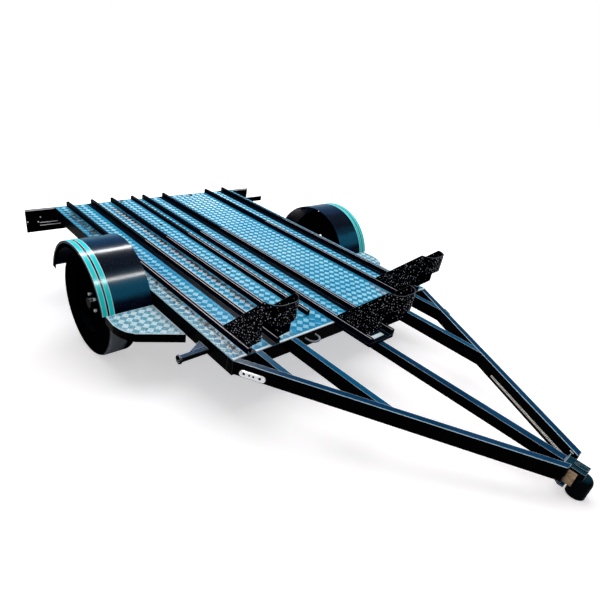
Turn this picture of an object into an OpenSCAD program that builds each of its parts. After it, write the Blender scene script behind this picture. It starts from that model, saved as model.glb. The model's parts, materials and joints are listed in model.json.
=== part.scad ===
// Single-axle trailer for three motorcycles: a flat chequered deck with three wheel channels, a wheel
// chock at the front of each channel, a stored loading ramp, and a triangular drawbar.
// The trailer is drawn level, with x = 0 at the deck's front edge, +X towards the coupling, +Y to the
// trailer's left and z = 0 on top of the deck plate. The stance module then lowers the coupling onto
// the ground and moves the origin to the middle of the footprint.

/* [Deck] */
// Length of the deck plate, rear edge to front edge
deck_len = 2050; // [1700:1:2600]
// Width of the deck plate
deck_wid = 1500; // [1400:10:1700]
// Thickness of the chequered deck plate
plate_t = 3; // [2:0.5:5]
// Height of the side beams and crossbeams
beam_h = 80; // [70:5:100]
// Width of the side beams and crossbeams
beam_w = 40; // [30:5:60]
// Wall thickness of the rectangular tubes
tube_wall = 3; // [2:0.5:4]

/* [Wheel channels] */
// Distance from the trailer's centre line to the centre of each side channel
channel_y = 575; // [540:1:600]
// Overall width of a channel, over its two rails
channel_wid = 192; // [170:1:220]
// Height of the rails above the deck
rail_h = 32; // [20:1:50]
// Width of a rail's folded top
rail_top = 20; // [12:1:26]
// Width of the foot that a rail turns into the channel
rail_foot = 30; // [15:1:50]
// How far the centre channel runs on in front of the deck
centre_reach = 236; // [150:5:350]

/* [Loading ramp] */
// Centre of the stored ramp, to the right of the centre line
ramp_y = 260; // [250:1:290]
// Overall width of the ramp
ramp_wid = 181; // [150:1:190]
// Height of the ramp's rails
ramp_h = 32; // [20:1:40]
// Gap between the ramp's front end and the deck's front edge
ramp_gap = 115; // [0:5:300]

/* [Drawbar] */
// Width of the drawbar tubes
bar_w = 32; // [30:1:60]
// Height of the drawbar tubes
bar_h = 70; // [50:1:90]
// Distance from the deck's front edge to the ends of the drawbar tubes
nose_x = 1173; // [900:1:1600]
// Half the width over the drawbar tubes at the nose
nose_half = 72; // [60:1:90]
// Place of the inner braces, from the centre line to their inner face
inner_brace_y = 375; // [300:5:450]
// Place of the outer braces, from the centre line to their inner face
outer_brace_y = 590; // [500:5:640]
// Width of the centre beam
centre_w = 38; // [30:1:60]
// Height of the centre beam
centre_h = 50; // [40:1:70]

/* [Wheels] */
// Outside radius of the tyres
wheel_r = 297; // [260:1:305]
// Width of the tyres
wheel_wid = 165; // [145:5:195]
// Wheel centre, behind the deck's front edge
wheel_back = 1001; // [800:1:1300]
// Wheel centre, below the top of the deck
wheel_drop = 170; // [150:1:220]
// Distance from the centre line to the outer face of a tyre
wheel_out = 987; // [950:1:1050]
// Radius of the wheel rim's flange
rim_r = 178; // [160:1:190]

/* [Mudguards and side steps] */
// Inside radius of the mudguards
guard_r = 336; // [320:1:360]
// Height of the mudguard's centre above the wheel centre
guard_rise = 5; // [-10:1:50]
// How far the mudguard's centre sits behind the wheel centre
guard_back = 17; // [0:1:40]
// Width of a mudguard
guard_wid = 274; // [200:2:300]
// Depth of the side steps below the deck's top
step_drop = 80; // [60:1:100]

/* [Chocks] */
// Length of a chock along its channel
chock_len = 312; // [300:1:360]
// Height of a chock's rim above the deck
chock_top = 292; // [280:1:330]
// Overall width of a chock
chock_wid = 174; // [150:1:190]
// Thickness of the chock plate
chock_t = 3; // [2:0.5:4]
// Rear edge of the side chocks, behind the deck's front edge
side_chock_back = 200; // [150:5:300]

/* [Coupling] */
// Inside radius of the ball socket
socket_r = 25.3; // [24:0.1:28]
// Distance from the drawbar's end to the ball's centre
ball_reach = 55; // [50:1:180]

/* [Hidden] */

// Small overlap for cuts that run past a face
eps = 1;
half_wid = deck_wid / 2;
wheel_x = -wheel_back;
wheel_z = -wheel_drop;

// Radius of the coupling head, which rests on the ground at the front of its lower rim
head_r = 36;
ball_x = nose_x + ball_reach;
socket_low = -134;
// Angle by which the trailer leans nose down, from the wheel centre, its radius and the nose contact
contact_x = ball_x + head_r;
reach = sqrt(pow(contact_x - wheel_x, 2) + pow(socket_low - wheel_z, 2));
tilt = asin(wheel_r / reach) + atan2(socket_low - wheel_z, contact_x - wheel_x);
lift = wheel_r + wheel_x * sin(tilt) - wheel_z * cos(tilt);
// Middle of the footprint along the trailer
mid_x = -421.88;
// Middle of the footprint across the trailer: the plate holder reaches further than the right wheel
mid_y = 53;

module stance() {
    translate([-mid_x, -mid_y, lift]) rotate([0, tilt, 0]) children();
}

// Makes the shape on the given side: 1 is the trailer's left, -1 its right
module on_side(side) {
    if (side > 0) children();
    else mirror([0, 1, 0]) children();
}

// Extrudes a section drawn in (y, z) along x
module along_x(x0, x1) {
    translate([x0, 0, 0]) rotate([90, 0, 90]) linear_extrude(x1 - x0) children();
}

// Extrudes a side view drawn in (x, z) across y
module across_y(y0, y1) {
    translate([0, y1, 0]) rotate([90, 0, 0]) linear_extrude(y1 - y0) children();
}

module box(x0, x1, y0, y1, z0, z1) {
    translate([x0, y0, z0]) cube([x1 - x0, y1 - y0, z1 - z0]);
}

// Rectangular tube open at both ends, along x
module tube_x(x0, x1, y0, y1, z0, z1) {
    difference() {
        box(x0, x1, y0, y1, z0, z1);
        box(x0 - eps, x1 + eps, y0 + tube_wall, y1 - tube_wall, z0 + tube_wall, z1 - tube_wall);
    }
}

// Rectangular tube open at both ends, along y
module tube_y(x0, x1, y0, y1, z0, z1) {
    difference() {
        box(x0, x1, y0, y1, z0, z1);
        box(x0 + tube_wall, x1 - tube_wall, y0 - eps, y1 + eps, z0 + tube_wall, z1 - tube_wall);
    }
}

// Frame

beam_top = -plate_t;
beam_low = beam_top - beam_h;
cap_t = 3;

module side_beam(side) {
    color("#14181d") stance() on_side(side)
        tube_x(-deck_len + beam_w, -beam_w, half_wid - beam_w, half_wid, beam_low, beam_top);
}

module front_crossbeam() {
    color("#14181d") stance()
        tube_y(-beam_w, 0, -half_wid + cap_t, half_wid - cap_t, beam_low, beam_top);
}

module rear_crossbeam() {
    color("#14181d") stance()
        tube_y(-deck_len, -deck_len + beam_w, -half_wid + cap_t, half_wid - cap_t, beam_low, beam_top);
}

member_w = 30;
member_h = 60;
member_count = 3;

module cross_members() {
    step = deck_len / (member_count + 1);
    color("#14181d") stance()
        for (i = [1 : member_count])
            tube_y(-i * step - member_w / 2, -i * step + member_w / 2,
                -half_wid + beam_w, half_wid - beam_w, beam_top - member_h, beam_top);
}

module deck_plate() {
    color("#b9d3dc") stance() box(-deck_len, 0, -half_wid, half_wid, -plate_t, 0);
}

// Drawbar

slope = (half_wid - nose_half) / nose_x;
bar_skew = bar_w / cos(atan(slope));
wall_skew = tube_wall / cos(atan(slope));
bar_top = beam_top;
bar_low = bar_top - bar_h;
function bar_outer(x) = half_wid - slope * x;
function bar_inner(x) = bar_outer(x) - bar_skew;

module between_z(z0, z1) {
    translate([0, 0, z0]) linear_extrude(z1 - z0) children();
}

module drawbar(side) {
    color("#12161b") stance() on_side(side) difference() {
        between_z(bar_low, bar_top)
            polygon([[0, bar_outer(0)], [nose_x, bar_outer(nose_x)],
                [nose_x, bar_inner(nose_x)], [0, bar_inner(0)]]);
        between_z(bar_low + tube_wall, bar_top - tube_wall)
            polygon([[-eps, bar_outer(-eps) - wall_skew], [nose_x + eps, bar_outer(nose_x + eps) - wall_skew],
                [nose_x + eps, bar_inner(nose_x + eps) + wall_skew], [-eps, bar_inner(-eps) + wall_skew]]);
    }
}

// Straight brace from the front crossbeam to the inner face of a drawbar tube
module brace(y) {
    function reach_at(v) = (half_wid - bar_skew - v) / slope;
    difference() {
        between_z(bar_low, bar_top)
            polygon([[0, y], [reach_at(y), y], [reach_at(y + bar_w), y + bar_w], [0, y + bar_w]]);
        between_z(bar_low + tube_wall, bar_top - tube_wall)
            polygon([[-eps, y + tube_wall], [reach_at(y), y + tube_wall],
                [reach_at(y), y + bar_w - tube_wall], [-eps, y + bar_w - tube_wall]]);
    }
}

module braces(side) {
    color("#12161b") stance() on_side(side) {
        brace(inner_brace_y);
        brace(outer_brace_y);
    }
}

centre_top = -17;
centre_end = nose_x - 28;

module centre_beam() {
    color("#12161b") stance()
        tube_x(0, centre_end, -centre_w / 2, centre_w / 2, centre_top - centre_h, centre_top);
}

// Thin plates that close the open ends of the crossbeams
module beam_caps() {
    color("#14181d") stance()
        for (side = [-1, 1]) on_side(side) {
            box(-beam_w, 0, half_wid - cap_t, half_wid, beam_low, beam_top);
            box(-deck_len, -deck_len + beam_w, half_wid - cap_t, half_wid, beam_low, beam_top);
        }
}

// Nose and coupling

web_t = 4;
neck_x = nose_x - 23;
neck_half = 32;
neck_top = -18;
neck_low = -50;
neck_t = 4;
nose_plate_t = 6;
nose_plate_top = -94;
nose_plate_half = 60;
nose_chamfer = 22;
post_x = nose_x + 9;
post_y = 22;
post_r = 7;

head_h = 66;
socket_deep = 30;

// Cross web between the drawbar tubes, and the lower plate that carries the coupling's rear bolts
module nose_bracket() {
    web_x = neck_x - web_t;
    plate_x0 = neck_x - 5;
    plate_x1 = ball_x - head_r - 3;
    color("#12161b") stance() {
        between_z(bar_low, neck_top)
            polygon([[web_x, -bar_inner(web_x)], [neck_x, -bar_inner(neck_x)],
                [neck_x, bar_inner(neck_x)], [web_x, bar_inner(web_x)]]);
        between_z(nose_plate_top - nose_plate_t, nose_plate_top)
            polygon([[plate_x0 + nose_chamfer, -nose_plate_half], [plate_x1, -nose_plate_half],
                [plate_x1, nose_plate_half], [plate_x0 + nose_chamfer, nose_plate_half],
                [plate_x0, nose_plate_half - nose_chamfer], [plate_x0, -nose_plate_half + nose_chamfer]]);
        for (s = [-1, 1]) {
            on_side(s) box(neck_x + 3, nose_x, 44, 44 + nose_plate_t, nose_plate_top, bar_low);
            translate([post_x, s * post_y, nose_plate_top])
                cylinder(h = neck_low - nose_plate_top, r = post_r, $fn = 32);
        }
    }
}

// Pressed coupling: a channel bolted between the drawbar tubes, and a round head with the ball socket
module coupler_body() {
    head_top = socket_low + head_h;
    color("#1a2026") stance() {
        difference() {
            union() {
                box(neck_x, ball_x, -neck_half, neck_half, neck_low, neck_top);
                translate([ball_x, 0, socket_low]) cylinder(h = head_h, r = head_r, $fn = 64);
                translate([ball_x, 0, head_top]) sphere(r = head_r, $fn = 64);
            }
            translate([ball_x, 0, socket_low - eps]) cylinder(h = socket_deep + eps, r = socket_r, $fn = 64);
            translate([ball_x, 0, socket_low + socket_deep]) sphere(r = socket_r, $fn = 64);
        }
    }
}

lever_w = 22;
lever_t = 6;
lever_reach = 30;

// Lever that opens the coupling, lying along the top of its channel
module coupler_lever() {
    lever_x = ball_x - lever_w / 2;
    color("#1a2026") stance() difference() {
        union() {
            box(lever_x - lever_reach, lever_x, -lever_w / 2, lever_w / 2, neck_top, neck_top + lever_t);
            for (x = [lever_x - lever_reach, lever_x])
                translate([x, 0, neck_top]) cylinder(h = lever_t, r = lever_w / 2, $fn = 48);
        }
        translate([lever_x - lever_reach, 0, neck_top - eps]) cylinder(h = lever_t + 2 * eps, r = 5, $fn = 32);
    }
}

// Wheel channels

rail_t = 2.5;
rail_round = 5;

// Section of one rail: a hollow upright with a folded top, and a flat foot that turns into the channel.
// Its outer face is at y = 0 and the channel lies towards +y.
module rail_section(w, h, foot) {
    difference() {
        union() {
            square([w, h - rail_round]);
            translate([rail_round, 0]) square([w - 2 * rail_round, h]);
            translate([rail_round, h - rail_round]) circle(r = rail_round, $fn = 24);
            translate([w - rail_round, h - rail_round]) circle(r = rail_round, $fn = 24);
            square([w + foot, rail_t]);
        }
        translate([rail_t, rail_t]) square([w - 2 * rail_t, h - 2 * rail_t - 1]);
    }
}

module rail_pair(centre, width, h, foot, x0, x1) {
    along_x(x0, x1) {
        translate([centre - width / 2, 0]) rail_section(rail_top, h, foot);
        translate([centre + width / 2, 0]) mirror([1, 0]) rail_section(rail_top, h, foot);
    }
}

module rails_right() {
    color("#0f1822") stance() rail_pair(-channel_y, channel_wid, rail_h, rail_foot, -deck_len, 0);
}

module rails_centre() {
    color("#0f1822") stance() rail_pair(0, channel_wid, rail_h, rail_foot, -deck_len, centre_reach);
}

module rails_left() {
    color("#0f1822") stance() rail_pair(channel_y, channel_wid, rail_h, rail_foot, -deck_len, 0);
}

// Folded tray that carries the centre channel in front of the deck
module centre_tray() {
    tray_half = channel_wid / 2;
    color("#1b242c") stance() difference() {
        box(0, centre_reach, -tray_half, tray_half, centre_top, 0);
        box(-eps, centre_reach - plate_t, -tray_half + plate_t, -centre_w / 2, centre_top - eps, -plate_t);
        box(-eps, centre_reach - plate_t, centre_w / 2, tray_half - plate_t, centre_top - eps, -plate_t);
    }
}

// Loading ramp, stored on the deck between the right and the centre channel

ramp_x1 = -ramp_gap;
tread_t = 3;

module ramp_rails() {
    color("#0f1822") stance()
        rail_pair(-ramp_y, ramp_wid, ramp_h, 12, -deck_len, ramp_x1);
}

module ramp_tread() {
    tread_half = ramp_wid / 2 - rail_top;
    color("#9fb4bf") stance() translate([0, -ramp_y, 0]) {
        box(-deck_len + 2, ramp_x1 - 2, -tread_half, tread_half, rail_t, rail_t + tread_t);
    }
}

// Chocks: a plate bent round the front of the motorcycle's tyre, with its cheeks cut down to the rear

chock_rear_z = rail_h + 8;
plan_r = 62;
// Where the cheek's top edge ends and the bent nose begins
cheek_top = [chock_len - plan_r, chock_top];
// Corners of the cheek's lower front edge, up to the underside of the nose
cheek_low = [193, rail_h];
cheek_front = [257, 100];
nose_low_z = 195;
nose_under = [257, nose_low_z];

// Plan of the bent plate, drawn inset by d
module chock_plan(d) {
    r = plan_r - d;
    w = chock_wid / 2 - d;
    translate([-d, -w]) square([chock_len - plan_r + d, 2 * w]);
    translate([-d, -w + r]) square([chock_len, 2 * (w - r)]);
    for (s = [-1, 1]) translate([chock_len - plan_r, s * (w - r)]) circle(r = r, $fn = 48);
}

module chock_side() {
    polygon([[0, rail_h], [0, chock_rear_z], cheek_top, [chock_len + eps, chock_top],
        [chock_len + eps, nose_low_z], nose_under, cheek_front, cheek_low]);
}

module chock(x, y) {
    color("#0c1015") stance() translate([x, y, 0]) intersection() {
        across_y(-chock_wid, chock_wid) chock_side();
        between_z(rail_h, chock_top) difference() {
            chock_plan(0);
            chock_plan(chock_t);
        }
    }
}

// Mudguards and side steps

guard_x = wheel_x - guard_back;
guard_z = wheel_z + guard_rise;
guard_t = 2;
guard_lip = 10;
guard_from = asin((-step_drop - guard_z) / guard_r);

module mudguard(side) {
    color("#14303f") stance() on_side(side)
        translate([guard_x, half_wid, guard_z]) rotate([90, 0, 0]) rotate([0, 0, guard_from])
            rotate_extrude(angle = 180 - 2 * guard_from, $fn = 128)
                polygon([[guard_r, 0], [guard_r + guard_t, 0], [guard_r + guard_t, -guard_wid],
                    [guard_r - guard_lip, -guard_wid], [guard_r - guard_lip, -guard_wid + guard_t],
                    [guard_r, -guard_wid + guard_t]]);
}

step_t = 3;
skirt_h = 47;
// Corners of the side step in plan, from its front tip round to the mudguard and back to the side beam
step_plan = [[-368, half_wid], [-486, 954], [-523, 986], [-560, 1001], [-607, 1011], [-698, 1006],
    [-698, half_wid]];

// The same outline with its outer sides moved in by t. Sides that face the beam and the mudguard stay.
function line_shift(p, q, t) =
    let (d = (q - p) / norm(q - p)) [p + t * [-d[1], d[0]], q + t * [-d[1], d[0]]];
function cross_point(a, b) =
    let (u = a[1] - a[0], v = b[1] - b[0], w = b[0] - a[0],
        k = (w[0] * v[1] - w[1] * v[0]) / (u[0] * v[1] - u[1] * v[0]))
    a[0] + k * u;
function inner_plan(t) =
    let (n = len(step_plan), lines = [for (i = [0 : n - 1])
        line_shift(step_plan[i], step_plan[(i + 1) % n], i < n - 2 ? t : 0)])
    [for (i = [0 : n - 1]) cross_point(lines[(i + n - 1) % n], lines[i])];

module side_step(side) {
    color("#8fa6b2") stance() on_side(side) translate([0, 0, -step_drop]) {
        between_z(-step_t, 0) polygon(step_plan);
        difference() {
            between_z(-skirt_h, 0) polygon(step_plan);
            between_z(-skirt_h - eps, eps) polygon(inner_plan(step_t));
        }
    }
}

// Axle and springs

axle_w = 45;
axle_half = wheel_out - wheel_wid - 25;
stub_r = 17;
stub_end = wheel_out - 42;
spring_y = half_wid - 35;
spring_wid = 36;
spring_r = 1700;
leaf_t = 6;
leaf_half = [315, 235, 150];
// The springs pass under the axle
spring_zc = wheel_z - axle_w / 2 - 0.02 + sqrt(spring_r * spring_r - axle_w * axle_w / 4);
eye_z = spring_zc - sqrt(spring_r * spring_r - leaf_half[0] * leaf_half[0]) + 9;
eye_r = 13;
pin_r = 7;

module axle_beam() {
    color("#14181d") stance() translate([wheel_x, 0, wheel_z]) {
        translate([-axle_w / 2, -axle_half, -axle_w / 2]) cube([axle_w, 2 * axle_half, axle_w]);
        for (s = [-1, 1]) rotate([-90 * s, 0, 0]) cylinder(h = stub_end, r = stub_r, $fn = 48);
    }
}

module leaf_springs() {
    color("#1a2026") stance() for (side = [-1, 1]) on_side(side)
        translate([wheel_x, spring_y + spring_wid / 2, 0]) rotate([90, 0, 0]) {
            difference() {
                union() {
                    for (i = [0 : len(leaf_half) - 1]) {
                        r0 = spring_r + i * leaf_t;
                        a = asin(leaf_half[i] / r0);
                        translate([0, spring_zc, 0]) rotate([0, 0, -90 - a])
                            rotate_extrude(angle = 2 * a, $fn = 360)
                                translate([r0, 0]) square([leaf_t, spring_wid]);
                    }
                    for (e = [-1, 1]) translate([e * leaf_half[0], eye_z, 0])
                        cylinder(h = spring_wid, r = eye_r, $fn = 32);
                }
                for (e = [-1, 1]) translate([e * leaf_half[0], eye_z, -eps])
                    cylinder(h = spring_wid + 2 * eps, r = pin_r, $fn = 32);
            }
        }
}

hanger_t = 6;
hanger_half = 20;
hanger_gap = spring_wid / 2 + 1;

// Folded hangers under the side beams, each with a pin through the spring's eye
module spring_hangers() {
    pin_half = hanger_gap + hanger_t;
    color("#14181d") stance() for (side = [-1, 1]) on_side(side)
        for (e = [-1, 1]) translate([wheel_x + e * leaf_half[0], spring_y, 0]) {
            for (s = [-1, 1]) translate([0, s * (hanger_gap + hanger_t / 2) - hanger_t / 2, 0]) {
                box(-hanger_half, hanger_half, 0, hanger_t, eye_z, beam_low - hanger_t);
                translate([0, 0, eye_z]) rotate([-90, 0, 0]) cylinder(h = hanger_t, r = hanger_half, $fn = 32);
            }
            box(-hanger_half, hanger_half, -pin_half, pin_half, beam_low - hanger_t, beam_low);
            translate([0, -pin_half, eye_z]) rotate([-90, 0, 0]) cylinder(h = 2 * pin_half, r = pin_r, $fn = 32);
        }
}

// Wheels. Each is drawn with its axle along z and its outer side towards +z.

tyre_round = 26;
bead_r = rim_r - 12;
bead_step = 12;
bead_tall = 40;
hub_nose_r = 29;
disc_out = wheel_out - 48;
disc_t = 5;
hub_bore = stub_r + 0.05;

module wheel_frame(side) {
    stance() translate([wheel_x, 0, wheel_z]) rotate([side > 0 ? -90 : 90, 0, 0]) children();
}

module tyre(side) {
    z0 = wheel_out - wheel_wid;
    color("#0b0b0c") wheel_frame(side) rotate_extrude($fn = 96) {
        translate([bead_r, z0 + bead_step]) square([wheel_r - bead_r - tyre_round, wheel_wid - 2 * bead_step]);
        translate([bead_r + bead_tall, z0]) square([wheel_r - bead_r - bead_tall - tyre_round, wheel_wid]);
        translate([wheel_r - tyre_round, z0 + tyre_round])
            square([tyre_round, wheel_wid - 2 * tyre_round]);
        for (z = [z0 + tyre_round, wheel_out - tyre_round])
            translate([wheel_r - tyre_round, z]) circle(r = tyre_round, $fn = 32);
    }
}

rim_t = 5;
flange_h = 17;
flange_t = 4;
bolt_ring_r = 49;
vent_ring_r = 112;

module rim(side) {
    z0 = wheel_out - wheel_wid + bead_step;
    z1 = wheel_out - bead_step;
    well_r = bead_r - rim_t;
    color("#15171a") wheel_frame(side) difference() {
        rotate_extrude($fn = 96) {
            translate([well_r, z0]) square([rim_t, z1 - z0]);
            translate([well_r, z0 - flange_t]) square([flange_h, flange_t]);
            translate([well_r, z1]) square([flange_h, flange_t]);
            translate([hub_nose_r + 1, disc_out - disc_t]) square([well_r - hub_nose_r, disc_t]);
        }
        for (i = [0 : 3]) rotate([0, 0, 45 + 90 * i]) translate([bolt_ring_r, 0, disc_out - disc_t - eps])
            cylinder(h = disc_t + 2 * eps, r = 7, $fn = 24);
        for (i = [0 : 7]) rotate([0, 0, 45 * i]) translate([vent_ring_r, 0, disc_out - disc_t - eps])
            cylinder(h = disc_t + 2 * eps, r = 15, $fn = 32);
    }
}

barrel_h = 80;
barrel_r = 34;

module hub(side) {
    back = disc_out - disc_t;
    color("#202428") wheel_frame(side) difference() {
        union() {
            translate([0, 0, back - barrel_h]) cylinder(h = barrel_h, r = barrel_r, $fn = 64);
            translate([0, 0, back - 10]) cylinder(h = 10, r = 66, $fn = 64);
            translate([0, 0, back]) cylinder(h = 34, r = hub_nose_r, $fn = 64);
        }
        translate([0, 0, back - barrel_h - eps])
            cylinder(h = stub_end + 5 - back + barrel_h + eps, r = hub_bore, $fn = 48);
    }
}

// Lamps, brackets and lashing points

bracket_in = half_wid - 60;
bracket_out = 945;
bracket_h = 160;
holder_out = 1130;
holder_top = -88;
holder_low = -130;

module lamp_brackets() {
    color("#12161b") stance() for (side = [-1, 1]) on_side(side)
        box(-deck_len - 3, -deck_len, bracket_in, bracket_out, -bracket_h, 0);
}

module tail_lamps() {
    color("#a01818") stance() for (side = [-1, 1]) on_side(side)
        box(-deck_len - 38, -deck_len - 3, half_wid + 10, bracket_out - 10, -bracket_h + 30, -30);
}

// Flat arm beyond the left lamp bracket that holds the number plate
module plate_holder() {
    color("#12161b") stance()
        box(-deck_len - 6, -deck_len - 3, bracket_out - 8, holder_out, holder_low, holder_top);
}

lamp_x = 84;
lamp_drop = 46;
lamp_half = 45;
lamp_r = 15;
lamp_t = 9;

module marker_lamps() {
    color("#e8ecee") stance() for (side = [-1, 1]) on_side(side)
        translate([lamp_x, bar_outer(lamp_x), bar_top - lamp_drop]) rotate([0, 0, -atan(slope)]) {
            for (e = [-1, 1]) translate([e * lamp_half, 0, 0]) rotate([-90, 0, 0])
                cylinder(h = lamp_t, r = lamp_r, $fn = 48);
            translate([-lamp_half, 0, -lamp_r]) cube([2 * lamp_half, lamp_t, 2 * lamp_r]);
        }
}

tie_x = -195;
tie_z = -66;
tie_r = 17;
tie_len = 150;
tie_lip = 8;
tie_floor = 10;

module tie_bars() {
    color("#10151b") stance() for (side = [-1, 1]) on_side(side)
        translate([tie_x, half_wid, tie_z]) rotate([-90, 0, 0]) difference() {
            union() {
                cylinder(h = tie_len, r = tie_r, $fn = 48);
                translate([0, 0, tie_len - tie_lip]) cylinder(h = tie_lip, r = tie_r + 5, $fn = 48);
            }
            translate([0, 0, tie_floor]) cylinder(h = tie_len, r = tie_r - 3, $fn = 48);
        }
}

module front_eye() {
    eye_y = -267;
    color("#d9dde0") stance() translate([0, eye_y, -31]) {
        for (s = [-1, 1]) translate([0, s * 36, 0]) rotate([0, 90, 0]) cylinder(h = 16, r = 5, $fn = 24);
        translate([16, 0, 0]) rotate([0, 0, -90]) rotate_extrude(angle = 180, $fn = 64)
            translate([36, 0]) circle(r = 5, $fn = 24);
    }
}

side_beam(-1);  // side_beam_right
side_beam(1);  // side_beam_left
front_crossbeam();
rear_crossbeam();
cross_members();
beam_caps();
deck_plate();
drawbar(-1);  // drawbar_right
drawbar(1);  // drawbar_left
braces(-1);  // braces_right
braces(1);  // braces_left
centre_beam();
nose_bracket();
coupler_body();
coupler_lever();
rails_right();
rails_centre();
rails_left();
centre_tray();
ramp_rails();
ramp_tread();
chock(-side_chock_back, -channel_y);  // chock_right
chock(0, 0);  // chock_centre
chock(-side_chock_back, channel_y);  // chock_left
mudguard(-1);  // mudguard_right
mudguard(1);  // mudguard_left
side_step(-1);  // side_step_right
side_step(1);  // side_step_left
axle_beam();
leaf_springs();
spring_hangers();
tyre(-1);  // tyre_right
rim(-1);  // rim_right
hub(-1);  // hub_right
tyre(1);  // tyre_left
rim(1);  // rim_left
hub(1);  // hub_left
lamp_brackets();
tail_lamps();
plate_holder();
marker_lamps();
tie_bars();
front_eye();
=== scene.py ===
"""Finishes, small fittings, lights and camera for the three-motorcycle trailer.

Lengths are in metres. Places are in the trailer's own level frame: x = 0 at the deck's front edge and
+x towards the coupling, +y to the trailer's left, z = 0 on top of the deck plate. LEVEL carries it
into the shared frame, where the trailer stands nose down on its coupling.
"""
import json
import math
import random

import bmesh
import bpy
from mathutils import Matrix, Vector


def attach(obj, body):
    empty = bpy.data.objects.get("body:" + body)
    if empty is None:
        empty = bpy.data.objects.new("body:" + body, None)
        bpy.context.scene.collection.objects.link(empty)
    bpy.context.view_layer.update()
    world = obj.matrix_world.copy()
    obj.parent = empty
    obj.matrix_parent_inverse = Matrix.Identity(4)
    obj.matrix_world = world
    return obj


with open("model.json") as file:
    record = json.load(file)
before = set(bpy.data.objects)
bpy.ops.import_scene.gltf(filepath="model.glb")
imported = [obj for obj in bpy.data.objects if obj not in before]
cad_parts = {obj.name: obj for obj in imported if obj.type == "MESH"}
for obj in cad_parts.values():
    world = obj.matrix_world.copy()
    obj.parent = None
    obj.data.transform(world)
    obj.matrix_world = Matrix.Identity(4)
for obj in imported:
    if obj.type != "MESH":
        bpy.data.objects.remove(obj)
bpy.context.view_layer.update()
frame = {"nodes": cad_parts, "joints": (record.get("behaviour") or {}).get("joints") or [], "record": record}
NODES = frame["nodes"]

# Driving dimensions, as in the part
DECK_LEN = 2.050
HALF_WID = 0.750
PLATE_T = 0.003
CHANNEL_Y = 0.575
CHANNEL_WID = 0.192
RAIL_TOP = 0.020
RAIL_H = 0.032
RAIL_FOOT = 0.030
CENTRE_REACH = 0.236
RAMP_Y = 0.260
RAMP_WID = 0.181
RAMP_GAP = 0.115
NOSE_X = 1.173
NOSE_HALF = 0.072
WHEEL_X = -1.001
WHEEL_Z = -0.170
WHEEL_R = 0.297
WHEEL_OUT = 0.987
GUARD_X = -1.018
GUARD_Z = -0.165
GUARD_R = 0.336
GUARD_OUT = HALF_WID + 0.274
STEP_DROP = 0.080
CHOCK_WID = 0.174
CHOCK_LEN = 0.312
CHOCK_PLAN_R = 0.062
CHOCK_SIDE = ((0, 0.032), (0, 0.040), (0.250, 0.292), (0.312, 0.292), (0.312, 0.195),
              (0.257, 0.195), (0.257, 0.100), (0.193, 0.032))
SIDE_CHOCK_X = -0.200
CHOCKS = (("right", SIDE_CHOCK_X, -CHANNEL_Y), ("centre", 0, 0), ("left", SIDE_CHOCK_X, CHANNEL_Y))
STEP_PLAN = ((-0.368, 0.750), (-0.486, 0.954), (-0.523, 0.986), (-0.560, 1.001), (-0.607, 1.011),
             (-0.698, 1.006), (-0.698, 0.750))
DISC_OUT = WHEEL_OUT - 0.048
LAMP_X = 0.084
LAMP_Z = -0.046
BAR_W = 0.032
SLOPE = (HALF_WID - NOSE_HALF) / NOSE_X
TIE_X = -0.195
TIE_Z = -0.066
TIE_R = 0.017
# Half of a channel's floor, between the rails' feet
FLOOR_HALF = CHANNEL_WID / 2 - RAIL_TOP - RAIL_FOOT
# Each side's sign along y, and name
SIDES = ((1, "left"), (-1, "right"))


def level_frame():
    """The matrix from the trailer's level frame to the shared frame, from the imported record."""
    socket = next(m for m in frame["record"]["mounts"] if m["name"] == "ball_socket")
    tilt = math.atan2(-socket["axis"][0], -socket["axis"][2])
    hinges = [Vector(j["pos_m"]) for j in frame["joints"]]
    wheel_centre = sum(hinges, Vector()) / len(hinges)
    turn = Matrix.Rotation(tilt, 4, "Y")
    return Matrix.Translation(wheel_centre) @ turn @ Matrix.Translation((-WHEEL_X, 0, -WHEEL_Z))


LEVEL = level_frame()


# Shader helpers

def add_node(tree, kind, **settings):
    """Adds a shader node. A setting goes to the input of its name, or else to the property."""
    made = tree.nodes.new(kind)
    for name, value in settings.items():
        label = name.replace("_", " ").title()
        if label in made.inputs:
            made.inputs[label].default_value = value
        else:
            setattr(made, name, value)
    return made


def rgb(red, green, blue):
    return (red, green, blue, 1.0)


def math_node(tree, operation, first, second=None, clamp=False):
    made = tree.nodes.new("ShaderNodeMath")
    made.operation = operation
    made.use_clamp = clamp
    for socket, value in zip(made.inputs, (first, second)):
        if value is None:
            continue
        if isinstance(value, (int, float)):
            socket.default_value = value
        else:
            tree.links.new(value, socket)
    return made.outputs[0]


def mix_colour(tree, factor, first, second):
    made = tree.nodes.new("ShaderNodeMix")
    made.data_type = "RGBA"
    for socket, value in ((made.inputs[0], factor), (made.inputs[6], first), (made.inputs[7], second)):
        if isinstance(value, (int, float, tuple)):
            socket.default_value = value
        else:
            tree.links.new(value, socket)
    return made.outputs[2]


def split_place(tree):
    """The place on the object as separate sockets X, Y and Z."""
    place = tree.nodes.new("ShaderNodeTexCoord")
    split = tree.nodes.new("ShaderNodeSeparateXYZ")
    tree.links.new(place.outputs["Object"], split.inputs[0])
    return split.outputs


def new_group(name, inputs, outputs):
    """An empty shader group. Inputs are given as (name, kind, default) and outputs as (name, kind)."""
    group = bpy.data.node_groups.new(name, "ShaderNodeTree")
    for label, kind, default in inputs:
        socket = group.interface.new_socket(label, in_out="INPUT", socket_type=kind)
        socket.default_value = default
    for label, kind in outputs:
        group.interface.new_socket(label, in_out="OUTPUT", socket_type=kind)
    return group, group.nodes.new("NodeGroupInput"), group.nodes.new("NodeGroupOutput")


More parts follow.
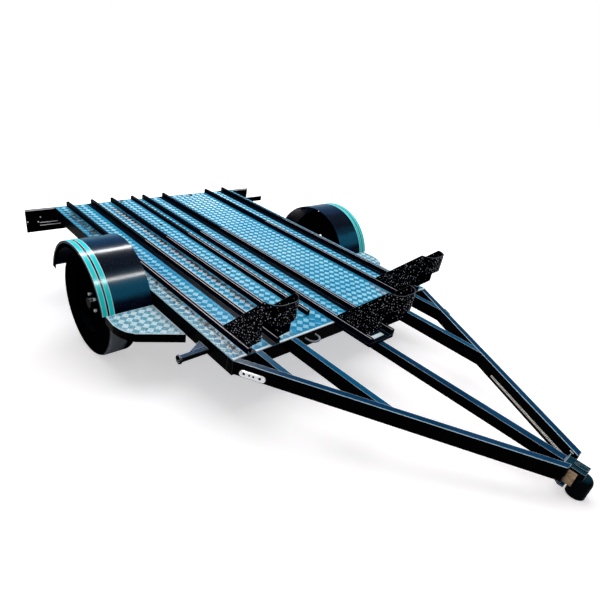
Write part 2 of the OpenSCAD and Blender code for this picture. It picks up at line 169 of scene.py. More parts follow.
def edge_light_group():
    """Mask of the upper edges of folded and welded steel, where a highlight is painted in."""
    group, given, result = new_group(
        "upper_edge_light",
        [("Radius", "NodeSocketFloat", 0.002), ("Sharpness", "NodeSocketFloat", 8.0)],
        [("Mask", "NodeSocketFloat")])
    bevel = add_node(group, "ShaderNodeBevel", samples=6)
    group.links.new(given.outputs["Radius"], bevel.inputs["Radius"])
    geometry = group.nodes.new("ShaderNodeNewGeometry")
    dot = add_node(group, "ShaderNodeVectorMath", operation="DOT_PRODUCT")
    group.links.new(bevel.outputs[0], dot.inputs[0])
    group.links.new(geometry.outputs["True Normal"], dot.inputs[1])
    bent = math_node(group, "SUBTRACT", 1.0, dot.outputs["Value"])
    bent = math_node(group, "MULTIPLY", bent, given.outputs["Sharpness"], clamp=True)
    split = group.nodes.new("ShaderNodeSeparateXYZ")
    group.links.new(bevel.outputs[0], split.inputs[0])
    upward = math_node(group, "MULTIPLY", split.outputs["Z"], 1.6, clamp=True)
    group.links.new(math_node(group, "MULTIPLY", bent, upward), result.inputs["Mask"])
    return group


def upward_group():
    """Mask of surfaces that face the sky."""
    group, given, result = new_group(
        "faces_up", [("Start", "NodeSocketFloat", 0.5), ("End", "NodeSocketFloat", 1.0)],
        [("Mask", "NodeSocketFloat")])
    geometry = group.nodes.new("ShaderNodeNewGeometry")
    split = group.nodes.new("ShaderNodeSeparateXYZ")
    group.links.new(geometry.outputs["Normal"], split.inputs[0])
    ramp = add_node(group, "ShaderNodeMapRange", interpolation_type="SMOOTHSTEP")
    group.links.new(split.outputs["Z"], ramp.inputs["Value"])
    group.links.new(given.outputs["Start"], ramp.inputs["From Min"])
    group.links.new(given.outputs["End"], ramp.inputs["From Max"])
    group.links.new(ramp.outputs[0], result.inputs["Mask"])
    return group


def mottle_group():
    """Uneven patches, from 0 to 1, for dust, wear, hand-sprayed paint and patchy painted reflections."""
    group, given, result = new_group(
        "mottle", [("Scale", "NodeSocketFloat", 8.0), ("Contrast", "NodeSocketFloat", 2.0)],
        [("Value", "NodeSocketFloat")])
    place = group.nodes.new("ShaderNodeTexCoord")
    noise = add_node(group, "ShaderNodeTexNoise", detail=6.0, roughness=0.62)
    group.links.new(place.outputs["Object"], noise.inputs["Vector"])
    group.links.new(given.outputs["Scale"], noise.inputs["Scale"])
    centred = math_node(group, "SUBTRACT", noise.outputs["Fac"], 0.5)
    spread = math_node(group, "MULTIPLY", centred, given.outputs["Contrast"])
    group.links.new(math_node(group, "ADD", spread, 0.5, clamp=True), result.inputs["Value"])
    return group


def deck_patch_group():
    """Mask of a patch of wear or dirt along the deck, with broken edges."""
    group, given, result = new_group(
        "deck_patch",
        [("Middle", "NodeSocketFloat", 0.0), ("Half", "NodeSocketFloat", 0.03),
         ("Rear", "NodeSocketFloat", -1.0), ("Front", "NodeSocketFloat", 1.0)],
        [("Mask", "NodeSocketFloat")])
    place = group.nodes.new("ShaderNodeTexCoord")
    axes = split_place(group)
    off = math_node(group, "SUBTRACT", axes["Y"], given.outputs["Middle"])
    off = math_node(group, "ABSOLUTE", off)
    across = math_node(group, "MULTIPLY", math_node(group, "SUBTRACT", given.outputs["Half"], off), 45.0)
    coarse = add_node(group, "ShaderNodeTexNoise", scale=34.0, detail=8.0, roughness=0.75)
    group.links.new(place.outputs["Object"], coarse.inputs["Vector"])
    broken = math_node(group, "MULTIPLY", math_node(group, "SUBTRACT", coarse.outputs["Fac"], 0.5), 9.0)
    across = math_node(group, "ADD", across, broken, clamp=True)
    behind = math_node(group, "SUBTRACT", axes["X"], given.outputs["Rear"])
    ahead = math_node(group, "SUBTRACT", given.outputs["Front"], axes["X"])
    along = math_node(group, "MULTIPLY", math_node(group, "MULTIPLY", behind, 8.0, clamp=True),
                      math_node(group, "MULTIPLY", ahead, 14.0, clamp=True))
    group.links.new(math_node(group, "MULTIPLY", across, along), result.inputs["Mask"])
    return group


EDGE_LIGHT = edge_light_group()
FACES_UP = upward_group()
MOTTLE = mottle_group()
DECK_PATCH = deck_patch_group()


def use_group(tree, group, **values):
    made = tree.nodes.new("ShaderNodeGroup")
    made.node_tree = group
    for name, value in values.items():
        made.inputs[name.capitalize()].default_value = value
    return made.outputs[0]


def new_material(name, roughness, specular, coat=0.0):
    material = bpy.data.materials.new(name)
    material.use_nodes = True
    tree = material.node_tree
    shader = tree.nodes["Principled BSDF"]
    shader.inputs["Roughness"].default_value = roughness
    shader.inputs["Specular IOR Level"].default_value = specular
    shader.inputs["Coat Weight"].default_value = coat
    shader.inputs["Coat Roughness"].default_value = 0.12
    return material, tree, shader


def add_bump(tree, shader, height, strength, distance):
    bump = add_node(tree, "ShaderNodeBump", strength=strength, distance=distance)
    tree.links.new(height, bump.inputs["Height"])
    tree.links.new(bump.outputs[0], shader.inputs["Normal"])


def add_peel(tree, shader):
    """The slight unevenness of sprayed paint."""
    add_bump(tree, shader, use_group(tree, MOTTLE, scale=90.0, contrast=1.0), 0.10, 0.001)


def vary_roughness(tree, shader, mask, middle, spread):
    rough = math_node(tree, "ADD", math_node(tree, "MULTIPLY", mask, spread), middle - spread / 2)
    tree.links.new(rough, shader.inputs["Roughness"])


# Pale colour of the highlights painted on upper edges; the mudguard's faint specks use it too.
EDGE_HIGHLIGHT = rgb(0.75, 0.84, 0.90)


def paint(name, side, top, edge_radius=0.004, edge_share=0.9, roughness=0.30, fade=None, specular=0.004):
    """Gloss paint on steel: dark sides, a sky reflection painted in where it faces up, and highlights
    painted on the upper edges. top is the colour of that painted reflection.

    fade gives two places along x between which the painted edge highlights come in, from the rear to
    the front.
    """
    material, tree, shader = new_material(name, roughness, specular)
    patches = use_group(tree, MOTTLE, scale=5.0, contrast=1.8)
    # Faces that look up get the sky reflection painted in, stronger in patches.
    upward = use_group(tree, FACES_UP, start=0.35, end=0.93)
    depth = math_node(tree, "ADD", math_node(tree, "MULTIPLY", patches, 0.5), 0.55)
    colour = mix_colour(tree, math_node(tree, "MULTIPLY", upward, depth, clamp=True), side, top)
    # Painted highlights on the upper edges, broken in places.
    if edge_radius:
        mask = use_group(tree, EDGE_LIGHT, radius=edge_radius, sharpness=9.0)
        broken = math_node(tree, "MULTIPLY", use_group(tree, MOTTLE, scale=14.0, contrast=3.0), 0.5)
        mask = math_node(tree, "MULTIPLY", mask,
                         math_node(tree, "ADD", broken, edge_share - 0.4, clamp=True))
        if fade:
            ramp = add_node(tree, "ShaderNodeMapRange", from_min=fade[0], from_max=fade[1], to_min=0.12)
            tree.links.new(split_place(tree)["X"], ramp.inputs["Value"])
            mask = math_node(tree, "MULTIPLY", mask, ramp.outputs[0])
        colour = mix_colour(tree, mask, colour, EDGE_HIGHLIGHT)
    tree.links.new(colour, shader.inputs["Base Color"])
    vary_roughness(tree, shader, patches, roughness, 0.14)
    add_peel(tree, shader)
    return material


# Colours round the mudguard, the lighter ones painted reflections, as (angle in degrees from straight
# ahead up to the rear, colour)
GUARD_REFLECTION_COLOURS = (
    (14, rgb(0.0005, 0.0006, 0.005)), (22, rgb(0.0005, 0.003, 0.012)), (30, rgb(0.005, 0.075, 0.135)),
    (38, rgb(0.005, 0.078, 0.140)), (46, rgb(0.0010, 0.020, 0.040)), (54, rgb(0.0006, 0.0045, 0.013)),
    (68, rgb(0.0006, 0.0050, 0.015)), (80, rgb(0.0005, 0.018, 0.054)), (90, rgb(0.0015, 0.034, 0.092)),
    (100, rgb(0.005, 0.085, 0.170)), (115, rgb(0.001, 0.030, 0.070)), (150, rgb(0.0005, 0.004, 0.012)))


def guard_paint(name):
    """Deep blue gloss paint, with painted reflections in broad lighter bands across the mudguard."""
    material, tree, shader = new_material(name, roughness=0.17, specular=0.008)
    axes = split_place(tree)
    centre = LEVEL @ Vector((GUARD_X, 0, GUARD_Z))
    tilt = math.degrees(LEVEL.to_euler().y)
    angle = math_node(tree, "ARCTAN2", math_node(tree, "SUBTRACT", axes["Z"], centre.z),
                      math_node(tree, "SUBTRACT", axes["X"], centre.x))
    patches = use_group(tree, MOTTLE, scale=9.0, contrast=2.0)
    wobble = math_node(tree, "MULTIPLY", math_node(tree, "SUBTRACT", patches, 0.5), 0.02)
    share = math_node(tree, "ADD", math_node(tree, "DIVIDE", angle, math.pi), wobble)
    ramp = tree.nodes.new("ShaderNodeValToRGB")
    ramp.color_ramp.interpolation = "EASE"
    stops = ramp.color_ramp.elements
    while len(stops) < len(GUARD_REFLECTION_COLOURS):
        stops.new(0.5)
    for stop, (degrees, colour) in zip(stops, GUARD_REFLECTION_COLOURS):
        stop.position = (degrees - tilt) / 180
        stop.color = colour
    tree.links.new(share, ramp.inputs[0])
    grain = use_group(tree, MOTTLE, scale=260.0, contrast=5.0)
    spots = math_node(tree, "MULTIPLY", math_node(tree, "GREATER_THAN", grain, 0.95), 0.03)
    colour = mix_colour(tree, spots, ramp.outputs[0], EDGE_HIGHLIGHT)
    tree.links.new(colour, shader.inputs["Base Color"])
    add_peel(tree, shader)
    return material


def along_x(x):
    return (LEVEL @ Vector((x, 0, 0))).x


def plate(name, light, dark, blue, dirt, roughness=0.34, grain=70.0, patches=()):
    """Tread plate: pale metal with the sky's reflection painted on in patches, with fine dark dirt.

    Each patch gives its middle and half width across the deck, its rear and front, a colour and its
    strength.
    """
    material, tree, shader = new_material(name, roughness, specular=0.012)
    wide = use_group(tree, MOTTLE, scale=2.4, contrast=2.6)
    fine = use_group(tree, MOTTLE, scale=grain, contrast=4.5)
    colour = mix_colour(tree, wide, light, blue)
    for middle, half, rear, front, tone, strength in patches:
        worn = use_group(tree, DECK_PATCH, middle=(LEVEL @ Vector((0, middle, 0))).y, half=half,
                         rear=along_x(rear), front=along_x(front))
        colour = mix_colour(tree, math_node(tree, "MULTIPLY", worn, strength), colour, tone)
    colour = mix_colour(tree, math_node(tree, "MULTIPLY", fine, dirt), colour, dark)
    tree.links.new(colour, shader.inputs["Base Color"])
    vary_roughness(tree, shader, fine, roughness, 0.3)
    add_bump(tree, shader, fine, 0.2, 0.0006)
    return material


# The tyre's hatching: how many blocks go round the wheel, and how far they slant across it
TREAD_BLOCKS = 110.0
TREAD_SLANT = 380.0


def rubber(name):
    """Tyre rubber: black walls, and a tread with dusty hatching on its outer half."""
    material, tree, shader = new_material(name, roughness=0.8, specular=0.0)
    patches = use_group(tree, MOTTLE, scale=30.0, contrast=2.4)
    colour = mix_colour(tree, patches, rgb(0.0004, 0.0004, 0.0008), rgb(0.0016, 0.0016, 0.0022))
    place = tree.nodes.new("ShaderNodeTexCoord")
    centred = add_node(tree, "ShaderNodeVectorMath", operation="SUBTRACT")
    tree.links.new(place.outputs["Object"], centred.inputs[0])
    centred.inputs[1].default_value = LEVEL @ Vector((WHEEL_X, 0, WHEEL_Z))
    flat = add_node(tree, "ShaderNodeVectorMath", operation="MULTIPLY")
    tree.links.new(centred.outputs[0], flat.inputs[0])
    flat.inputs[1].default_value = (1, 0, 1)
    reach = add_node(tree, "ShaderNodeVectorMath", operation="LENGTH")
    tree.links.new(flat.outputs[0], reach.inputs[0])
    tread = add_node(tree, "ShaderNodeMapRange", from_min=WHEEL_R - 0.010, from_max=WHEEL_R - 0.004)
    tree.links.new(reach.outputs["Value"], tread.inputs["Value"])
    apart = add_node(tree, "ShaderNodeSeparateXYZ")
    tree.links.new(centred.outputs[0], apart.inputs[0])
    across = math_node(tree, "ABSOLUTE", apart.outputs["Y"])
    outward = add_node(tree, "ShaderNodeMapRange", from_min=WHEEL_OUT - 0.115, from_max=WHEEL_OUT - 0.085)
    tree.links.new(across, outward.inputs["Value"])
    round_wheel = math_node(tree, "ARCTAN2", apart.outputs["Z"], apart.outputs["X"])
    slant = math_node(tree, "ADD", math_node(tree, "MULTIPLY", round_wheel, TREAD_BLOCKS),
                      math_node(tree, "MULTIPLY", across, TREAD_SLANT))
    blocks = add_node(tree, "ShaderNodeMapRange", from_min=-0.1, from_max=0.5)
    tree.links.new(math_node(tree, "SINE", slant), blocks.inputs["Value"])
    dust = mix_colour(tree, use_group(tree, MOTTLE, scale=5.0, contrast=3.0), rgb(0.34, 0.42, 0.50),
                      rgb(0.20, 0.15, 0.07))
    dusty = math_node(tree, "MULTIPLY", tread.outputs[0],
                      math_node(tree, "MULTIPLY", outward.outputs[0], blocks.outputs[0]))
    tree.links.new(mix_colour(tree, dusty, colour, dust), shader.inputs["Base Color"])
    grooves = add_node(tree, "ShaderNodeTexWave", bands_direction="Y", scale=14.0, distortion=1.2)
    tree.links.new(place.outputs["Object"], grooves.inputs["Vector"])
    add_bump(tree, shader, grooves.outputs["Fac"], 0.35, 0.003)
    return material


def lens(name, clear, shade, glow=0.0):
    """Moulded lamp lens with fine ribs under a clear surface; glow makes it give off light of its own, as
    painted light.
    """
    material, tree, shader = new_material(name, roughness=0.25, specular=0.1, coat=0.1)
    place = tree.nodes.new("ShaderNodeTexCoord")
    ribs = add_node(tree, "ShaderNodeTexWave", scale=60.0, distortion=0.6)
    tree.links.new(place.outputs["Object"], ribs.inputs["Vector"])
    colour = mix_colour(tree, ribs.outputs["Fac"], shade, clear)
    tree.links.new(colour, shader.inputs["Base Color"])
    shader.inputs["Emission Strength"].default_value = glow
    tree.links.new(colour, shader.inputs["Emission Color"])
    add_bump(tree, shader, ribs.outputs["Fac"], 0.3, 0.001)
    return material


BLACK = rgb(0.0004, 0.0005, 0.0010)
# Each paint's second colour is the sky reflection painted on faces that look up.
FRAME_PAINT = paint("frame_paint", BLACK, rgb(0.0010, 0.058, 0.150))
BRACE_PAINT = paint("brace_paint", BLACK, rgb(0.002, 0.120, 0.260))
RAIL_PAINT = paint("rail_paint", rgb(0.0006, 0.0020, 0.0060), rgb(0.0008, 0.0060, 0.0150),
                   edge_radius=0.002, edge_share=0.4, fade=(-1.2, 0.1), specular=0.003)
GUARD_PAINT = guard_paint("guard_paint")
CHOCK_BLACK = paint("black_tread_paint", BLACK, rgb(0.002, 0.006, 0.014), edge_radius=0.003,
                    edge_share=0.4)
DARK_STEEL = paint("dark_steel", rgb(0.002, 0.003, 0.004), rgb(0.004, 0.050, 0.080), edge_radius=0.002)


def plain_paint(name, side, top, **more):
    """Paint on small things, without the painted edge highlights; faces that look up still get the painted
    sky reflection.
    """
    return paint(name, side, top, edge_radius=0.0, **more)


BAR_BLACK = plain_paint("black_tread_bars", BLACK, rgb(0.004, 0.006, 0.010))
CHOCK_GLINT = plain_paint("black_tread_glints", rgb(0.55, 0.58, 0.64), rgb(0.80, 0.84, 0.90))
GLINT_DIM = plain_paint("black_tread_dim_glints", rgb(0.16, 0.20, 0.24), rgb(0.22, 0.28, 0.34))
RIM_PAINT = plain_paint("rim_paint", BLACK, rgb(0.003, 0.006, 0.010), specular=0.0)
# Pale paint that stands for highlights on rods, bolts, nuts, weld beads and bright edge lines.
PALE_HIGHLIGHT = plain_paint("pale_highlight", rgb(0.85, 0.87, 0.90), rgb(0.90, 0.92, 0.95))
GREY_STEEL = plain_paint("grey_steel", rgb(0.16, 0.18, 0.21), rgb(0.34, 0.37, 0.42))
STRIPE = plain_paint("stripe_paint", rgb(0.012, 0.66, 0.64), rgb(0.02, 0.80, 0.86), roughness=0.20,
                     specular=0.012)
STRIPE_EDGE = plain_paint("stripe_border", rgb(0.62, 0.76, 0.78), rgb(0.80, 0.88, 0.90))
HOLE_BLACK = plain_paint("hole_black", BLACK, BLACK, specular=0.0)

# Patches on the deck, as (middle and half width across, rear, front)
SMUDGE = rgb(0.014, 0.009, 0.011)
SMUDGE_LIGHT = rgb(0.62, 0.49, 0.50)
SMUDGES = ((-0.690, 0.020, -0.92, 0.01), (-0.700, 0.034, -1.99, -1.45), (-0.378, 0.032, -1.99, -0.25))
PALE_PATCHES = ((-0.720, 0.060, -1.00, 0.02), (-0.420, 0.070, -0.16, 0.02))
DUST_PATCH = (0.455, 0.030, -0.26, 0.02)
GROUND_PATCHES = ([(*place, rgb(0.40, 0.62, 0.63), 0.75) for place in PALE_PATCHES]
                  + [(*DUST_PATCH, rgb(0.30, 0.28, 0.31), 0.8)]
                  + [(*place, SMUDGE, 1.0) for place in SMUDGES])
LIGHT_BAR_PATCHES = ([(*place, rgb(0.92, 0.97, 0.97), 0.8) for place in PALE_PATCHES]
                     + [(*DUST_PATCH, rgb(0.55, 0.52, 0.56), 0.8)]
                     + [(*place, SMUDGE, 0.9) for place in SMUDGES[:2]]
                     + [(*SMUDGES[2], SMUDGE_LIGHT, 0.8)])
BLUE_BAR_PATCHES = [(*place, SMUDGE, 1.0) for place in SMUDGES]

DECK_PLATE = plate("deck_tread_plate", rgb(0.030, 0.52, 0.80), rgb(0.0, 0.060, 0.110),
                   rgb(0.002, 0.36, 0.72), 0.62, grain=95.0, patches=GROUND_PATCHES)
# The two directions of deck bars: one painted light as highlights, the other darker as shade.
BARS_HIGHLIT = plate("deck_bars_painted_highlight", rgb(0.72, 0.96, 1.0), rgb(0.05, 0.42, 0.66),
                   rgb(0.38, 0.86, 1.0), 0.26, patches=LIGHT_BAR_PATCHES)
BARS_SHADED = plate("deck_bars_painted_shade", rgb(0.01, 0.25, 0.42), rgb(0.0, 0.04, 0.08),
                  rgb(0.002, 0.20, 0.42), 0.50, grain=110.0, patches=BLUE_BAR_PATCHES)
STEP_PLATE = plate("step_tread_plate", rgb(0.60, 0.76, 0.90), rgb(0.0, 0.08, 0.11),
                   rgb(0.14, 0.62, 0.76), 0.60, grain=95.0)
# The step's bars, likewise painted darker as shade in one direction and white as highlights in the other.
STEP_BARS_SHADED = plate("step_bars_painted_shade", rgb(0.020, 0.25, 0.33), rgb(0.0, 0.05, 0.06),
                   rgb(0.006, 0.24, 0.34), 0.4)
STEP_BARS_HIGHLIT = plate("step_bars_painted_highlight", rgb(1.0, 1.0, 1.0), rgb(0.30, 0.60, 0.70), rgb(0.80, 0.96, 1.0), 0.35)
# Bright edges of plate, painted as highlights.
PLATE_EDGE_HIGHLIGHT = plate("plate_edge_highlight", rgb(0.90, 0.97, 1.0), rgb(0.45, 0.60, 0.65),
                   rgb(0.75, 0.92, 0.97), 0.3)
HIGHLIGHT_LINE_WHITE = plate("highlight_line_white", rgb(0.84, 0.76, 0.74), rgb(0.15, 0.13, 0.13),
                   rgb(0.78, 0.80, 0.84), 0.4)
HIGHLIGHT_LINE_DIM = plate("highlight_line_dim", rgb(0.16, 0.14, 0.14), rgb(0.01, 0.01, 0.012),
                 rgb(0.10, 0.11, 0.13), 0.6)
HIGHLIGHT_LINE_BLUE = plate("highlight_line_blue", rgb(0.70, 0.86, 0.95), rgb(0.05, 0.16, 0.26),
                  rgb(0.50, 0.78, 0.92), 0.3)
CONDUIT_GREY = plate("conduit_grey", rgb(1.0, 0.97, 0.97), rgb(0.02, 0.02, 0.025),
                     rgb(0.90, 0.84, 0.68), 0.5, grain=160.0)
RUST = plate("rusty_steel", rgb(0.50, 0.30, 0.15), rgb(0.04, 0.020, 0.010), rgb(0.80, 0.58, 0.38), 0.5,
             roughness=0.8)
RUBBER = rubber("tyre_rubber")
RED_LENS = lens("red_lens", rgb(0.55, 0.010, 0.008), rgb(0.20, 0.003, 0.003))
# The white lens glows a little, as painted light.
WHITE_LENS = lens("white_lens", rgb(0.96, 0.97, 0.98), rgb(0.86, 0.90, 0.93), glow=0.25)
LENS_GREEN = lens("green_lens", rgb(0.004, 0.22, 0.27), rgb(0.002, 0.12, 0.16))


def finish_nodes():
    """Gives each node the finish of the row that its name starts with, or else the frame's."""
    by_start = [
        ("chock", CHOCK_BLACK), ("rails", RAIL_PAINT), ("ramp_rails", RAIL_PAINT),
        ("ramp_tread", DECK_PLATE), ("deck_plate", DECK_PLATE), ("mudguard", GUARD_PAINT),
        ("tyre", RUBBER), ("rim", RIM_PAINT), ("hub", DARK_STEEL), ("tail_lamps", RED_LENS),
        ("marker_lamps", WHITE_LENS), ("front_eye", GREY_STEEL), ("leaf_springs", DARK_STEEL),
        ("coupler", DARK_STEEL), ("centre_tray", RAIL_PAINT), ("braces", BRACE_PAINT)]
    for name, thing in NODES.items():
        material = next((m for start, m in by_start if name.startswith(start)), FRAME_PAINT)
        thing.data.materials.clear()
        thing.data.materials.append(material)


finish_nodes()


# Mesh helpers

def make_piece(name, shape, material, body="chassis", place=LEVEL, smooth=True):
    """Turns a bmesh into a piece of the trailer that rides on a body."""
    bmesh.ops.recalc_face_normals(shape, faces=shape.faces)
    bmesh.ops.transform(shape, matrix=place, verts=shape.verts)
    mesh = bpy.data.meshes.new(name)
    shape.to_mesh(mesh)
    shape.free()
    for one in material if isinstance(material, (list, tuple)) else (material,):
        mesh.materials.append(one)
    piece = bpy.data.objects.new(name, mesh)
    bpy.context.scene.collection.objects.link(piece)
    if smooth:
        mesh.shade_smooth()
        mesh.set_sharp_from_angle(angle=math.radians(35))
    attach(piece, body)


def add_box(shape, low, high):
    """Adds a box between two corners to a bmesh."""
    low = Vector(low)
    high = Vector(high)
    place = Matrix.Translation((low + high) / 2) @ Matrix.Diagonal((*(high - low), 1.0))
    bmesh.ops.create_cube(shape, size=1.0, matrix=place)


def add_rod(shape, start, end, radius, segments=12):
    """Adds a closed round bar between two points to a bmesh."""
    start = Vector(start)
    along = Vector(end) - start
    turn = along.to_track_quat("Z", "Y").to_matrix().to_4x4()
    place = Matrix.Translation(start + along / 2) @ turn
    bmesh.ops.create_cone(shape, cap_ends=True, segments=segments, radius1=radius, radius2=radius,
                          depth=along.length, matrix=place)


def add_slab(shape, outline, low, thick):
    """Adds a flat plate with an outline in plan to a bmesh, upwards from the height low."""
    face = shape.faces.new([shape.verts.new((x, y, low)) for x, y in outline])
    made = bmesh.ops.extrude_face_region(shape, geom=[face])
    bmesh.ops.translate(shape, vec=(0, 0, thick),
                        verts=[v for v in made["geom"] if isinstance(v, bmesh.types.BMVert)])


# Tread plate: groups of five raised bars, each group turned square to its neighbours. Each bar narrows
# to a shorter ridge.

CELL = 0.0310
BAR_STEP = 0.0062
BAR_LEN = 0.0262
BAR_WID = 0.0038
BAR_RISE = 0.0011
BAR_TOP_SHARE = 0.72
UNIT = CELL * math.sqrt(2)


def tread_unit():
    """A mesh with one group of each direction, centred on the origin."""
    shape = bmesh.new()
    for turn, centre in ((math.radians(45), (0, 0)), (math.radians(-45), (UNIT / 2, UNIT / 2))):
        for i in range(-2, 3):
            place = (Matrix.Translation((*centre, BAR_RISE / 2)) @ Matrix.Rotation(turn, 4, "Z")
                     @ Matrix.Translation((0, i * BAR_STEP, 0))
                     @ Matrix.Diagonal((BAR_LEN, BAR_WID, BAR_RISE, 1)))
            verts = bmesh.ops.create_cube(shape, size=1.0, matrix=place)["verts"]
            for face in {face for vert in verts for face in vert.link_faces}:
                face.material_index = int(turn < 0)
            top = [v for v in verts if v.co.z > BAR_RISE / 2]
            middle = place.translation
            along = Vector((math.cos(turn), math.sin(turn), 0))
            for v in top:
                reach = (v.co - middle).dot(along)
                v.co = middle + along * reach * BAR_TOP_SHARE
                v.co.z = BAR_RISE
    bmesh.ops.remove_doubles(shape, verts=shape.verts, dist=0.0002)
    bmesh.ops.delete(shape, geom=[f for f in shape.faces if f.calc_area() < 1e-9], context="FACES_ONLY")
    mesh = bpy.data.meshes.new("tread_unit")
    shape.to_mesh(mesh)
    shape.free()
    return mesh


TREAD_UNIT = tread_unit()


def tread_field(x0, x1, y0, y1, keep=lambda x, y: True):
    """A bmesh of raised bars over a rectangle, leaving out each bar that isn't wholly on the plate."""
    carrier = bpy.data.objects.new("tread_carrier", TREAD_UNIT)
    bpy.context.scene.collection.objects.link(carrier)
    first = [math.floor(v / UNIT) for v in (x0, y0)]
    last = [math.ceil(v / UNIT) for v in (x1, y1)]
    for axis in (0, 1):
        row = carrier.modifiers.new("row", "ARRAY")
        row.count = last[axis] - first[axis] + 1
        row.use_relative_offset = False
        row.use_constant_offset = True
        row.constant_offset_displace = [UNIT if i == axis else 0 for i in range(3)]
    filled = carrier.evaluated_get(bpy.context.evaluated_depsgraph_get()).to_mesh()
    shape = bmesh.new()
    shape.from_mesh(filled)
    bpy.data.objects.remove(carrier)
    bmesh.ops.translate(shape, vec=(first[0] * UNIT, first[1] * UNIT, 0), verts=shape.verts)
    outside = set()
    for vert in shape.verts:
        x, y, _ = vert.co
        if vert in outside or (x0 < x < x1 and y0 < y < y1 and keep(x, y)):
            continue
        spread = [vert]
        while spread:
            reached = spread.pop()
            if reached not in outside:
                outside.add(reached)
                spread.extend(edge.other_vert(reached) for edge in reached.link_edges)
    bmesh.ops.delete(shape, geom=list(outside), context="VERTS")
    return shape


# The materials of a tread's two directions of bars; on the deck and step the first is painted light as
# highlights and the second darker as shade
DECK_BARS = (BARS_HIGHLIT, BARS_SHADED)
STEP_TREADS = (STEP_BARS_HIGHLIT, STEP_BARS_SHADED)
CHOCK_BARS = (BAR_BLACK, BAR_BLACK)


def inside(x, y, outline):
    """Whether a point is inside a closed outline."""
    crossings = 0
    for (x0, y0), (x1, y1) in zip(outline, outline[1:] + outline[:1]):
        if (y0 > y) != (y1 > y) and x < x0 + (x1 - x0) * (y - y0) / (y1 - y0):
            crossings += 1
    return crossings % 2 == 1


# Height of the ramp's floor, and how far treads stay from the ramp's rails and from its front
RAMP_LIFT = 0.0055
RAMP_BORDER = 0.012
FRONT_BORDER = 0.003


def deck_treads():
    """Raised bars on each strip of the deck that shows between the rails, and on the ramp."""
    half = CHANNEL_WID / 2
    ramp_half = RAMP_WID / 2
    strips = {
        "margin_right": (-HALF_WID, -CHANNEL_Y - half),
        "channel_right": (-CHANNEL_Y - FLOOR_HALF, -CHANNEL_Y + FLOOR_HALF),
        "gap_outer": (-CHANNEL_Y + half, -RAMP_Y - ramp_half),
        "gap_inner": (-RAMP_Y + ramp_half, -half),
        "channel_centre": (-FLOOR_HALF, FLOOR_HALF),
        "walkway": (half, CHANNEL_Y - half),
        "channel_left": (CHANNEL_Y - FLOOR_HALF, CHANNEL_Y + FLOOR_HALF),
        "margin_left": (CHANNEL_Y + half, HALF_WID)}
    for name, (y0, y1) in strips.items():
        shape = tread_field(-DECK_LEN, 0, y0, y1)
        make_piece("tread_" + name, shape, DECK_BARS, smooth=False)
    shape = tread_field(-RAMP_GAP + FRONT_BORDER, 0, -RAMP_Y - ramp_half, -RAMP_Y + ramp_half)
    make_piece("tread_ramp_front", shape, DECK_BARS, smooth=False)
    tread_half = ramp_half - RAIL_TOP - RAMP_BORDER
    shape = tread_field(-DECK_LEN, -RAMP_GAP, -RAMP_Y - tread_half, -RAMP_Y + tread_half)
    raised = LEVEL @ Matrix.Translation((0, 0, RAMP_LIFT))
    make_piece("tread_ramp", shape, DECK_BARS, place=raised, smooth=False)


# The side step's sheets, as (name, size as a share of the step, thickness, material)
STEP_SHEETS = (("step_border_", 0.992, 0.0004, PLATE_EDGE_HIGHLIGHT), ("step_plate_", 0.965, 0.0008, STEP_PLATE))
STEP_TREAD_SHARE = 0.95
STEP_TREAD_LIFT = 0.0007


def step_treads():
    """Bright tread plate let into the top of each side step, with a plain border painted bright as a
    highlight.
    """
    for side, label in SIDES:
        place = LEVEL @ Matrix.Translation((0, 0, -STEP_DROP))
        plan = tuple((x, side * y) for x, y in STEP_PLAN)
        mx, my = (sum(values) / len(plan) for values in zip(*plan))

        def inset(share):
            return tuple((mx + (x - mx) * share, my + (y - my) * share) for x, y in plan)

        for name, share, rise, material in STEP_SHEETS:
            shape = bmesh.new()
            add_slab(shape, inset(share), 0, rise)
            make_piece(name + label, shape, material, place=place, smooth=False)
        edge = inset(STEP_TREAD_SHARE)
        xs, ys = zip(*edge)
        shape = tread_field(min(xs), max(xs), min(ys), max(ys), keep=lambda x, y: inside(x, y, edge))
        raised = place @ Matrix.Translation((0, 0, STEP_TREAD_LIFT))
        make_piece("tread_step_" + label, shape, STEP_TREADS, place=raised, smooth=False)


# Chocks: the treads' lower and upper ends, and the plate's thickness; the specks' grid, its height,
# how far they stand off the plate, and the shares that are bright, outside and left out. The specks
# are painted glints.
CHOCK_FOOT = 0.040
CHOCK_TOP = 0.289
CHOCK_WALL = 0.003
SPECK_STEP = 0.0125
SPECK_HEIGHT = 0.25
SPECK_LIFT = 0.0004
BRIGHT_SHARE = 0.7
OUTSIDE_SHARE = 0.8
MISSING_SHARE = 0.12


